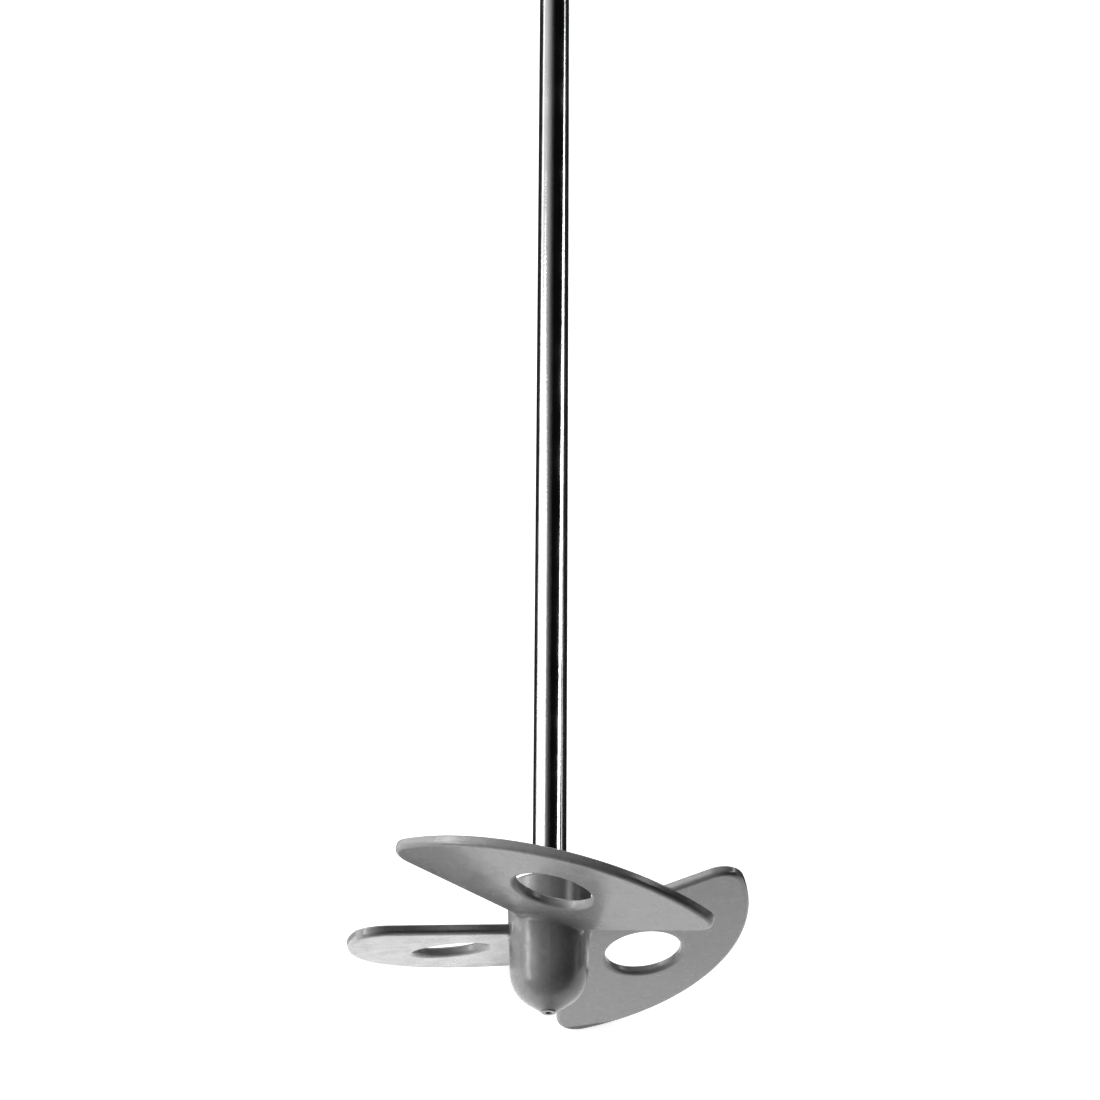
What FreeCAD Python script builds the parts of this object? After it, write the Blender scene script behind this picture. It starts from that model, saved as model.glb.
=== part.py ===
import FreeCAD, Part
import math
import os

from FreeCAD import Placement, Rotation, Vector

# Sizes are in millimetres and degrees. Each piece is made with the rod's axis on Z and the nose of the hub at
# zero height. The finished paddle is laid down at the end.
overall_length = 400.0  # nose of the hub to the chuck end of the rod

# Bright drawn steel rod
rod_diameter = 8.0
rod_chamfer = 1.0  # at the chuck end
seat_diameter = 7.2  # turned down where the head is moulded round the rod
seat_start = 6.0  # height of the rod's lower end, inside the hub
seat_groove_width = 3.0  # ring groove that stops the head from pulling off
seat_groove_depth = 0.6
seat_groove_height = 14.0  # from the rod's lower end to the middle of the groove
seat_flat_length = 9.0  # two flats at the lower end take the torque
seat_flat_depth = 0.8

# Hub of the moulded head
hub_height = 30.0
nose_radius = 9.1
nose_taper = 34.0  # the dome runs out into a cone round the gate, this steep
nose_tip_diameter = 3.8  # where the cone ends
hub_draft = 2.0  # the hub widens upwards, out of the mould
hub_top_bevel = 0.8
gate_diameter = 3.2  # stub that the moulding gate left under the nose
gate_height = 1.0  # from the dome's own lowest point to the stub's end
gate_dimple_diameter = 1.6
gate_dimple_depth = 0.5

# Blades of the moulded head: flat plates, each pitched about its own radius
blade_count = 3
sweep_radius = 46.5
blade_thickness = 2.4
blade_pitch = 13.1
blade_height = 18.5  # where the plane of a blade's underside crosses the axis
side_angle = 56.6  # seen along the rod, from the blade's middle radius to either side
side_offset = 0.8  # from the axis to the line of a side
corner_radius = 5.5
lower_edge_round = 1.1  # on the lower edges of a blade and of its hole
upper_edge_round = 0.4
root_fillet = 1.2
hole_diameter = 18.0
hole_radius_place = 26.1  # from the axis to the middle of the hole
hole_bevel = 0.4  # on the hole's upper edge
quarter_handle = 0.5523  # share of its radius at which a quarter circle's Bezier handles stand

# Lying at rest
steel_density = 7.85e-3  # grams for each cubic millimetre
plastic_density = 1.05e-3
touch_mesh = 0.02  # how closely the touching points follow the blades' edges
search_spacings = (1.0, 0.05, 0.0025)  # degrees of roll between the poses that are compared
search_reach = 30  # poses on each side of the best so far

rod_radius = rod_diameter / 2
up = Vector(0, 0, 1)


def polar(radius, angle):
    return Vector(radius * math.cos(math.radians(angle)), radius * math.sin(math.radians(angle)), 0)


def drive_rod():
    low, high = seat_start, overall_length
    seat_radius = seat_diameter / 2
    profile = Part.makePolygon([
        Vector(0, 0, low),
        Vector(seat_radius, 0, low),
        Vector(seat_radius, 0, hub_height),
        Vector(rod_radius, 0, hub_height),
        Vector(rod_radius, 0, high - rod_chamfer),
        Vector(rod_radius - rod_chamfer, 0, high),
        Vector(0, 0, high),
        Vector(0, 0, low),
    ])
    rod = Part.Face(profile).revolve(Vector(), up, 360)

    groove_start = Vector(0, 0, low + seat_groove_height - seat_groove_width / 2)
    ring = Part.makeCylinder(rod_diameter, seat_groove_width, groove_start)
    core = Part.makeCylinder(seat_radius - seat_groove_depth, seat_groove_width, groove_start)
    rod = rod.cut(ring.cut(core))

    for side in (0, 180):
        flat = Part.makeBox(rod_diameter, 2 * rod_diameter, seat_flat_length)
        flat.translate(Vector(seat_radius - seat_flat_depth, -rod_diameter, low))
        flat.rotate(Vector(), up, side)
        rod = rod.cut(flat)
    return rod.Solids[0]


def hub():
    # Tapered tip, domed nose, drafted side and bevelled top, turned about the axis
    dome_start, side_start = on_dome(nose_taper), on_dome(90 - hub_draft)
    side_end = Vector(hub_radius(hub_height), 0, hub_height)
    tip_radius = nose_tip_diameter / 2
    tip_height = dome_start.z - (dome_start.x - tip_radius) * math.tan(math.radians(nose_taper))
    straight = Part.makePolygon([
        side_start,
        side_end,
        Vector(0, 0, hub_height),
        Vector(0, 0, tip_height),
        Vector(tip_radius, 0, tip_height),
        dome_start,
    ])
    dome = Part.Arc(dome_start, on_dome((nose_taper + 90 - hub_draft) / 2), side_start)
    body = Part.Face(Part.Wire([dome.toShape()] + straight.Edges)).revolve(Vector(), up, 360)
    rim = [e for e in body.Edges if at_height(e, hub_height)]
    return body.makeChamfer(hub_top_bevel, rim)


def at_height(edge, height):
    return abs(edge.BoundBox.ZMin - height) < 1e-6 and abs(edge.BoundBox.ZMax - height) < 1e-6


def gate_stub():
    buried = nose_radius / 4
    stub = Part.makeCylinder(gate_diameter / 2, gate_height + buried, Vector(0, 0, -gate_height))
    dimple = Part.makeCylinder(gate_dimple_diameter / 2, gate_dimple_depth, Vector(0, 0, -gate_height))
    return stub.cut(dimple)


def blade():
    # A plate drawn in its own plane. Seen along the rod it is a sector with rounded corners.
    slant = math.cos(math.radians(blade_pitch))
    sides_cross = Vector(side_offset / math.sin(math.radians(side_angle)), 0, 0)
    reach = math.sqrt(sweep_radius ** 2 - side_offset ** 2)
    side_end = polar(reach, side_angle) + polar(side_offset, side_angle - 90)
    low_end = Vector(side_end.x, side_end.y / slant, 0)
    high_end = Vector(side_end.x, -side_end.y / slant, 0)
    outline = Part.Wire([
        Part.LineSegment(sides_cross, low_end).toShape(),
        Part.Arc(low_end, polar(sweep_radius, 0), high_end).toShape(),
        Part.LineSegment(high_end, sides_cross).toShape(),
    ])
    plate = Part.Face(outline).extrude(up * blade_thickness)
    corners = [e for e in plate.Edges if is_upright(e) and e.BoundBox.XMin > corner_radius]
    plate = plate.makeFillet(corner_radius, corners)
    plate = plate.makeFillet(lower_edge_round, [e for e in plate.Edges if at_height(e, 0)])
    plate = plate.makeFillet(upper_edge_round, [e for e in plate.Edges if at_height(e, blade_thickness)])
    plate = plate.cut(hole_cutter())
    plate.rotate(Vector(), Vector(1, 0, 0), -blade_pitch)
    plate.translate(up * blade_height)
    return plate


def hole_cutter():
    # Turned to the hole's section: rounded lower edge, straight wall and bevelled upper edge
    wall, handle = hole_diameter / 2, lower_edge_round * (1 - quarter_handle)
    lower_edge = Part.BezierCurve()
    lower_edge.setPoles([
        Vector(wall + lower_edge_round, 0, 0),
        Vector(wall + handle, 0, 0),
        Vector(wall, 0, handle),
        Vector(wall, 0, lower_edge_round),
    ])
    straight = Part.makePolygon([
        Vector(wall, 0, lower_edge_round),
        Vector(wall, 0, blade_thickness - hole_bevel),
        Vector(wall + hole_bevel, 0, blade_thickness),
        Vector(0, 0, blade_thickness),
        Vector(),
        Vector(wall + lower_edge_round, 0, 0),
    ])
    section = Part.Wire([lower_edge.toShape()] + straight.Edges)
    cutter = Part.Face(section).revolve(Vector(), up, 360)
    cutter.translate(Vector(hole_radius_place, 0, 0))
    return cutter


def is_upright(edge):
    return edge.BoundBox.XLength < 1e-6 and edge.BoundBox.YLength < 1e-6


def on_dome(angle):
    # The point of the dome that stands at this angle from its lowest point
    turn = math.radians(angle)
    return Vector(nose_radius * math.sin(turn), 0, nose_radius * (1 - math.cos(turn)))


def hub_radius(height):
    draft = math.radians(hub_draft)
    return nose_radius * math.cos(draft) + (height - nose_radius * (1 - math.sin(draft))) * math.tan(draft)


def is_root(edge):
    # True for an edge where a blade meets the hub's drafted side
    box = edge.BoundBox
    on_side = box.ZMin > nose_radius and box.ZMax < hub_height - 2 * hub_top_bevel
    if not on_side or isinstance(edge.Curve, Part.Line):
        return False
    return all(abs(math.hypot(p.x, p.y) - hub_radius(p.z)) < 1e-3 for p in edge.discretize(7))


def mixing_head(rod):
    body = hub()
    for number in range(blade_count):
        one = blade()
        one.rotate(Vector(), up, number * 360 / blade_count)
        body = body.fuse(one)
    body = body.makeFillet(root_fillet, [e for e in body.Edges if is_root(e)])
    return body.fuse(gate_stub()).cut(rod).Solids[0]


def centre_of_mass(head, rod):
    head_mass = head.Volume * plastic_density
    rod_mass = rod.Volume * steel_density
    return (head.CenterOfMass * head_mass + rod.CenterOfMass * rod_mass) * (1 / (head_mass + rod_mass))


def resting_pose(head, rod):
    # The ground touches the blades' lowest points and the rim of the chuck end. The paddle rests on the gap
    # between the second and third blade, at the roll where its mass lies lowest.
    mass = centre_of_mass(head, rod)
    rim_height = overall_length - rod_chamfer
    tip_start = sweep_radius - corner_radius
    tips = [p for p in head.tessellate(touch_mesh)[0] if math.hypot(p.x, p.y) > tip_start]

    def lying(roll):
        down = polar(1, roll)
        slope = max((p.dot(down) - rod_radius) / (rim_height - p.z) for p in tips)
        depth = rod_radius + slope * (rim_height - mass.z) - mass.dot(down)
        return depth / math.hypot(1, slope), roll, slope

    best = lying(1.5 * 360 / blade_count)
    for spacing in search_spacings:
        middle = best[1]
        best = min(lying(middle + n * spacing) for n in range(-search_reach, search_reach + 1))
    return best[1], math.degrees(math.atan(best[2]))


def resting_place(head, rod):
    roll, tilt = resting_pose(head, rod)
    axis_along_y = Rotation(Vector(0, 0, -1), Vector(-1, 0, 0), Vector(0, 1, 0), "ZXY")
    turn = Rotation(Vector(1, 0, 0), -tilt) * axis_along_y * Rotation(up, -roll)
    points = [turn.multVec(p) for piece in (head, rod) for p in piece.tessellate(touch_mesh)[0]]
    xs, ys, zs = [p.x for p in points], [p.y for p in points], [p.z for p in points]
    base = Vector((min(xs) + max(xs)) / 2, (min(ys) + max(ys)) / 2, min(zs))
    return Placement(base * -1, turn)


rod = drive_rod()
head = mixing_head(rod)
place = resting_place(head, rod)
os.makedirs("parts", exist_ok=True)
for name, piece in (("drive_rod", rod), ("mixing_head", head)):
    piece.Placement = place.multiply(piece.Placement)
    piece.exportStep("parts/" + name + ".step")
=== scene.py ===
import bpy
import math
from mathutils import Euler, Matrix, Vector

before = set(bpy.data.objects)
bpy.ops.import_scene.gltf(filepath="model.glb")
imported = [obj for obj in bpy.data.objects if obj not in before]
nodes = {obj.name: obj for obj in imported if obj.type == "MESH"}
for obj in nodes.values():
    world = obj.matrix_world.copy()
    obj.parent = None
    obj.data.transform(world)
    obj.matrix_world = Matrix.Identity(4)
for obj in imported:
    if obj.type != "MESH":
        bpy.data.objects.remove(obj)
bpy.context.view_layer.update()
print("frame loaded:", sorted(nodes))


# Camera: looks down on the underside of the head, with the rod running up and out of the picture
photoCamera = {
    "place": (0.02474, -0.37727, 0.82679),
    "aim": (-0.00020, -0.08133, 0.03462),
    "roll": -4.994,  # degrees about the line of sight
    "lens": 113.24,
    "sensor": 36.0,
    "clip": (0.01, 50.0),
}


def addCamera():
    place, aim = Vector(photoCamera["place"]), Vector(photoCamera["aim"])
    bpy.ops.object.camera_add(location=place)
    camera = bpy.context.object
    camera.name = "photoCamera"
    camera.data.lens = photoCamera["lens"]
    camera.data.sensor_width = photoCamera["sensor"]
    camera.data.clip_start, camera.data.clip_end = photoCamera["clip"]
    camera.rotation_euler = facing(place, aim, photoCamera["roll"])
    bpy.context.scene.camera = camera
    print("camera ready")


def facing(place, aim, turn):
    look = (aim - place).to_track_quat("-Z", "Y").to_matrix()
    return (look @ Euler((0, 0, math.radians(turn))).to_matrix()).to_euler()


# Small helpers for node trees
def node(tree, kind, x, y, **settings):
    made = tree.nodes.new(kind)
    made.location = (x, y)
    for name, value in settings.items():
        setattr(made, name, value)
    return made


def setInputs(made, **values):
    for name, value in values.items():
        made.inputs[name.replace("_", " ")].default_value = value


def link(tree, source, target):
    tree.links.new(source, target)


def newMaterial(name):
    material = bpy.data.materials.new(name)
    material.use_nodes = True
    tree = material.node_tree
    return material, tree, tree.nodes["Principled BSDF"]


def placeOnNode(objectName, material):
    target = nodes[objectName]
    for slot in target.material_slots:
        slot.material = material
    if not target.material_slots:
        target.data.materials.append(material)


# Effect that both materials share: soft blotches, and a finer grain of its own
unevenLook = {
    "blotchDetail": 3.0,
    "blotchRoughness": 0.55,
    "blotchLow": 0.35,  # the blotches' noise is spread from here
    "blotchHigh": 0.65,  # to here
    "grainDetail": 2.0,
    "grainRoughness": 0.6,
}


def unevenGroup():
    group = bpy.data.node_groups.new("unevenSurface", "ShaderNodeTree")
    face = group.interface
    face.new_socket("Vector", in_out="INPUT", socket_type="NodeSocketVector")
    for name in ("Blotch Scale", "Grain Scale"):
        face.new_socket(name, in_out="INPUT", socket_type="NodeSocketFloat")
    for name in ("Blotch", "Grain"):
        face.new_socket(name, in_out="OUTPUT", socket_type="NodeSocketFloat")

    given = node(group, "NodeGroupInput", -900, 0)
    out = node(group, "NodeGroupOutput", 300, 0)
    blotch = node(group, "ShaderNodeTexNoise", -650, 150)
    setInputs(blotch, Detail=unevenLook["blotchDetail"], Roughness=unevenLook["blotchRoughness"])
    grain = node(group, "ShaderNodeTexNoise", -650, -150)
    setInputs(grain, Detail=unevenLook["grainDetail"], Roughness=unevenLook["grainRoughness"])
    spread = node(group, "ShaderNodeMapRange", -350, 150)
    setInputs(spread, From_Min=unevenLook["blotchLow"], From_Max=unevenLook["blotchHigh"])
    for noise, scale in ((blotch, "Blotch Scale"), (grain, "Grain Scale")):
        link(group, given.outputs["Vector"], noise.inputs["Vector"])
        link(group, given.outputs[scale], noise.inputs["Scale"])
    link(group, blotch.outputs["Fac"], spread.inputs["Value"])
    link(group, spread.outputs["Result"], out.inputs["Blotch"])
    link(group, grain.outputs["Fac"], out.inputs["Grain"])
    return group


# Moulded plastic of the mixing head. Scales are per metre and heights in metres, here and for the steel.
plasticLook = {
    "darkGrey": (0.212, 0.212, 0.215, 1),
    "lightGrey": (0.242, 0.242, 0.245, 1),
    "mottleLow": 0.3,
    "mottleHigh": 0.7,
    "roughLow": 0.18,
    "roughHigh": 0.30,
    "ior": 1.55,
    "blotchScale": 220.0,
    "waveHeight": 0.000008,
    "grainScale": 650.0,
}


def plasticMaterial(uneven):
    material, tree, shader = newMaterial("mouldedGreyPlastic")
    shader.inputs["IOR"].default_value = plasticLook["ior"]
    place = node(tree, "ShaderNodeTexCoord", -1300, 0)
    effect = node(tree, "ShaderNodeGroup", -1000, 0, node_tree=uneven)
    setInputs(effect, Blotch_Scale=plasticLook["blotchScale"], Grain_Scale=plasticLook["grainScale"])
    link(tree, place.outputs["Object"], effect.inputs["Vector"])

    mottle = node(tree, "ShaderNodeMapRange", -750, 250)
    setInputs(mottle, From_Min=plasticLook["mottleLow"], From_Max=plasticLook["mottleHigh"])
    link(tree, effect.outputs["Grain"], mottle.inputs["Value"])
    colour = node(tree, "ShaderNodeMix", -500, 250, data_type="RGBA")
    setInputs(colour, A=plasticLook["darkGrey"], B=plasticLook["lightGrey"])
    link(tree, mottle.outputs["Result"], colour.inputs["Factor"])
    link(tree, colour.outputs["Result"], shader.inputs["Base Color"])

    rough = node(tree, "ShaderNodeMapRange", -500, 0)
    setInputs(rough, To_Min=plasticLook["roughLow"], To_Max=plasticLook["roughHigh"])
    link(tree, effect.outputs["Blotch"], rough.inputs["Value"])
    link(tree, rough.outputs["Result"], shader.inputs["Roughness"])

    waves = node(tree, "ShaderNodeBump", -500, -250)
    setInputs(waves, Distance=plasticLook["waveHeight"])
    link(tree, effect.outputs["Blotch"], waves.inputs["Height"])
    link(tree, waves.outputs["Normal"], shader.inputs["Normal"])
    return material


# Bright drawn steel of the rod: long draw streaks, with fine specks across them
steelLook = {
    "dullGrey": (0.58, 0.58, 0.585, 1),
    "brightGrey": (0.74, 0.74, 0.745, 1),
    "roughLow": 0.08,
    "roughHigh": 0.18,
    "roughReach": 0.6,  # where streaks times blotches come to this, the steel is at its roughest
    "axisTilt": 6.253,  # degrees that the rod slopes at rest
    "drawStretch": 0.02,  # scale of the streaks along the rod
    "streakScale": 900.0,
    "streakDetail": 4.0,
    "streakRoughness": 0.6,
    "streakHeight": 0.000004,
    "blotchScale": 90.0,
    "speckScale": 1000.0,
    "speckHeight": 0.000018,
}


def steelMaterial(uneven):
    material, tree, shader = newMaterial("brightDrawnSteel")
    shader.inputs["Metallic"].default_value = 1.0
    place = node(tree, "ShaderNodeTexCoord", -1600, 0)
    along = node(tree, "ShaderNodeMapping", -1400, 0)
    setInputs(
        along,
        Rotation=(math.radians(steelLook["axisTilt"]), 0, 0),
        Scale=(1, steelLook["drawStretch"], 1),
    )
    link(tree, place.outputs["Object"], along.inputs["Vector"])
    streaks = node(tree, "ShaderNodeTexNoise", -1100, 250)
    setInputs(
        streaks,
        Scale=steelLook["streakScale"],
        Detail=steelLook["streakDetail"],
        Roughness=steelLook["streakRoughness"],
    )
    link(tree, along.outputs["Vector"], streaks.inputs["Vector"])
    effect = node(tree, "ShaderNodeGroup", -1100, -100, node_tree=uneven)
    setInputs(effect, Blotch_Scale=steelLook["blotchScale"], Grain_Scale=steelLook["speckScale"])
    link(tree, place.outputs["Object"], effect.inputs["Vector"])

    colour = node(tree, "ShaderNodeMix", -500, 300, data_type="RGBA")
    setInputs(colour, A=steelLook["dullGrey"], B=steelLook["brightGrey"])
    link(tree, streaks.outputs["Fac"], colour.inputs["Factor"])
    link(tree, colour.outputs["Result"], shader.inputs["Base Color"])

    both = node(tree, "ShaderNodeMath", -750, 0, operation="MULTIPLY")
    link(tree, streaks.outputs["Fac"], both.inputs[0])
    link(tree, effect.outputs["Blotch"], both.inputs[1])
    rough = node(tree, "ShaderNodeMapRange", -500, 0)
    setInputs(
        rough,
        From_Max=steelLook["roughReach"],
        To_Min=steelLook["roughLow"],
        To_Max=steelLook["roughHigh"],
    )
    link(tree, both.outputs["Value"], rough.inputs["Value"])
    link(tree, rough.outputs["Result"], shader.inputs["Roughness"])

    specks = node(tree, "ShaderNodeBump", -500, -250)
    setInputs(specks, Distance=steelLook["speckHeight"])
    link(tree, effect.outputs["Grain"], specks.inputs["Height"])
    lines = node(tree, "ShaderNodeBump", -300, -250)
    setInputs(lines, Distance=steelLook["streakHeight"])
    link(tree, streaks.outputs["Fac"], lines.inputs["Height"])
    link(tree, specks.outputs["Normal"], lines.inputs["Normal"])
    link(tree, lines.outputs["Normal"], shader.inputs["Normal"])
    return material


# Pale floor, and dark cards beside the rod that give it its black bands
floorLook = {
    "half": 15.0,
    "colour": (0.80, 0.80, 0.80, 1),
    "roughness": 0.9,
    "glow": 0.80,  # added where the camera, metal or glass sees the floor
}

cardLook = {
    "colour": (0.01, 0.01, 0.01, 1),
    "roughness": 1.0,
}

cards = {
    "darkCardRight": {"place": (0.216, 0.038, 0.002), "size": (0.40, 0.41)},
    "darkCardLeft": {"place": (-0.062, 0.03, 0.002), "size": (0.116, 0.41)},
}


def floorMaterial():
    material, tree, shader = newMaterial("paleFloor")
    setInputs(shader, Base_Color=floorLook["colour"], Roughness=floorLook["roughness"])
    rays = node(tree, "ShaderNodeLightPath", -700, 0)
    seen = node(tree, "ShaderNodeMath", -450, 50, operation="MAXIMUM")
    link(tree, rays.outputs["Is Camera Ray"], seen.inputs[0])
    link(tree, rays.outputs["Is Glossy Ray"], seen.inputs[1])
    seenToo = node(tree, "ShaderNodeMath", -250, 0, operation="MAXIMUM")
    link(tree, seen.outputs["Value"], seenToo.inputs[0])
    link(tree, rays.outputs["Is Transmission Ray"], seenToo.inputs[1])
    glow = node(tree, "ShaderNodeMath", -100, 0, operation="MULTIPLY")
    glow.inputs[1].default_value = floorLook["glow"]
    link(tree, seenToo.outputs["Value"], glow.inputs[0])
    setInputs(shader, Emission_Color=(1, 1, 1, 1))
    link(tree, glow.outputs["Value"], shader.inputs["Emission Strength"])
    return material


def cardMaterial():
    # Black above, clear below, so that the floor under a card keeps its light
    material, tree, shader = newMaterial("darkCard")
    setInputs(shader, Base_Color=cardLook["colour"], Roughness=cardLook["roughness"])
    sides = node(tree, "ShaderNodeNewGeometry", -600, 200)
    above = node(tree, "ShaderNodeMath", -350, 200, operation="SUBTRACT")
    above.inputs[0].default_value = 1.0
    link(tree, sides.outputs["Backfacing"], above.inputs[1])
    link(tree, above.outputs["Value"], shader.inputs["Alpha"])
    return material


def addStage():
    bpy.ops.mesh.primitive_plane_add(size=2 * floorLook["half"])
    floor = bpy.context.object
    floor.name = "paleFloor"
    floor.data.materials.append(floorMaterial())
    black = cardMaterial()
    for name, card in cards.items():
        bpy.ops.mesh.primitive_plane_add(size=1, location=card["place"])
        made = bpy.context.object
        made.name = name
        made.scale = (*card["size"], 1)
        made.data.materials.append(black)
        made.visible_camera = made.visible_shadow = False
    print("floor and cards ready")


# Studio lamps. Each lights both colour and shine, unless diffuse or glossy is switched off.
lamps = {
    "leftSoftbox": {
        "spot": (-0.82, -0.02, 0.50),
        "aim": (0, -0.02, 0.03),
        "size": (1.25, 0.95),
        "power": 4.7,
    },
    "leftStrip": {
        "spot": (-0.79, -0.02, 0.46),
        "aim": (0, -0.02, 0.03),
        "size": (1.25, 0.18),
        "power": 4.4,
    },
    "rightStrip": {
        "spot": (0.917, 0.363, 0.373),
        "aim": (0, 0.19, 0.03),
        "size": (1.05, 0.20),
        "power": 3.2,
        "turn": -54,
        "diffuse": False,
    },
    "backSoftbox": {
        "spot": (-0.89, 0.42, 0.47),
        "aim": (0, -0.17, 0.05),
        "size": (0.6, 0.6),
        "power": 7.0,
        "glossy": False,
    },
    "rearFill": {
        "spot": (0.15, 1.10, 0.11),
        "aim": (0, -0.15, 0.05),
        "size": (0.9, 0.2),
        "power": 5.0,
        "glossy": False,
    },
    "frontStrip": {
        "spot": (-0.15, -0.288, 0.003),
        "aim": (-0.15, -0.288, 1),
        "size": (0.60, 0.20),
        "power": 0.85,
        "glossy": False,
    },
}


def addLamps():
    for name, lamp in lamps.items():
        spot, aim = Vector(lamp["spot"]), Vector(lamp["aim"])
        turned = facing(spot, aim, lamp.get("turn", 0))
        bpy.ops.object.light_add(type="AREA", location=spot, rotation=turned)
        made = bpy.context.object
        made.name = name
        made.data.shape = "RECTANGLE"
        made.data.size, made.data.size_y = lamp["size"]
        made.data.energy = lamp["power"]
        made.visible_camera = False
        made.visible_diffuse = lamp.get("diffuse", True)
        made.visible_glossy = lamp.get("glossy", True)
    print("lamps ready")


# Dark studio with a pale horizon, and a soft glow from behind on the left
studioWorld = {
    "horizon": 0.90,
    "top": 0.004,
    "horizonEnd": 0.04,  # up to this height the sky is all horizon
    "topStart": 0.10,
    "glow": 1.1,
    "glowBack": (0.30, 0.50),  # comes in between these, going backwards
    "glowLeft": (-0.05, -0.90),  # and between these, going left
    "glowCurve": 1.5,
}


def addWorld():
    world = bpy.data.worlds.new("studioWorld")
    bpy.context.scene.world = world
    world.use_nodes = True
    tree = world.node_tree
    around = node(tree, "ShaderNodeTexCoord", -900, 0)
    split = node(tree, "ShaderNodeSeparateXYZ", -700, 0)
    link(tree, around.outputs["Generated"], split.inputs["Vector"])

    fade = node(tree, "ShaderNodeValToRGB", -450, 200)
    fade.color_ramp.interpolation = "EASE"
    ends = fade.color_ramp.elements
    for stop, share, grey in (
        (ends[0], studioWorld["horizonEnd"], studioWorld["horizon"]),
        (ends[1], studioWorld["topStart"], studioWorld["top"]),
    ):
        stop.position = share
        stop.color = (grey, grey, grey, 1)
    link(tree, split.outputs["Z"], fade.inputs["Fac"])

    backStart, backEnd = studioWorld["glowBack"]
    behind = node(tree, "ShaderNodeMapRange", -450, -100, interpolation_type="SMOOTHSTEP")
    setInputs(behind, From_Min=backStart, From_Max=backEnd, To_Max=studioWorld["glow"])
    link(tree, split.outputs["Y"], behind.inputs["Value"])
    leftStart, leftEnd = studioWorld["glowLeft"]
    leftwards = node(tree, "ShaderNodeMapRange", -450, -350)
    setInputs(leftwards, From_Min=leftStart, From_Max=leftEnd)
    link(tree, split.outputs["X"], leftwards.inputs["Value"])
    steeper = node(tree, "ShaderNodeMath", -250, -350, operation="POWER")
    steeper.inputs[1].default_value = studioWorld["glowCurve"]
    link(tree, leftwards.outputs["Result"], steeper.inputs[0])
    glow = node(tree, "ShaderNodeMath", -50, -200, operation="MULTIPLY")
    link(tree, behind.outputs["Result"], glow.inputs[0])
    link(tree, steeper.outputs["Value"], glow.inputs[1])

    both = node(tree, "ShaderNodeMath", 150, 0, operation="ADD")
    link(tree, fade.outputs["Color"], both.inputs[0])
    link(tree, glow.outputs["Value"], both.inputs[1])
    link(tree, both.outputs["Value"], tree.nodes["Background"].inputs["Color"])
    print("world ready")


bpy.context.scene.view_settings.view_transform = "Standard"
addCamera()
uneven = unevenGroup()
placeOnNode("mixing_head", plasticMaterial(uneven))
placeOnNode("drive_rod", steelMaterial(uneven))
print("materials placed")
addStage()
addLamps()
addWorld()
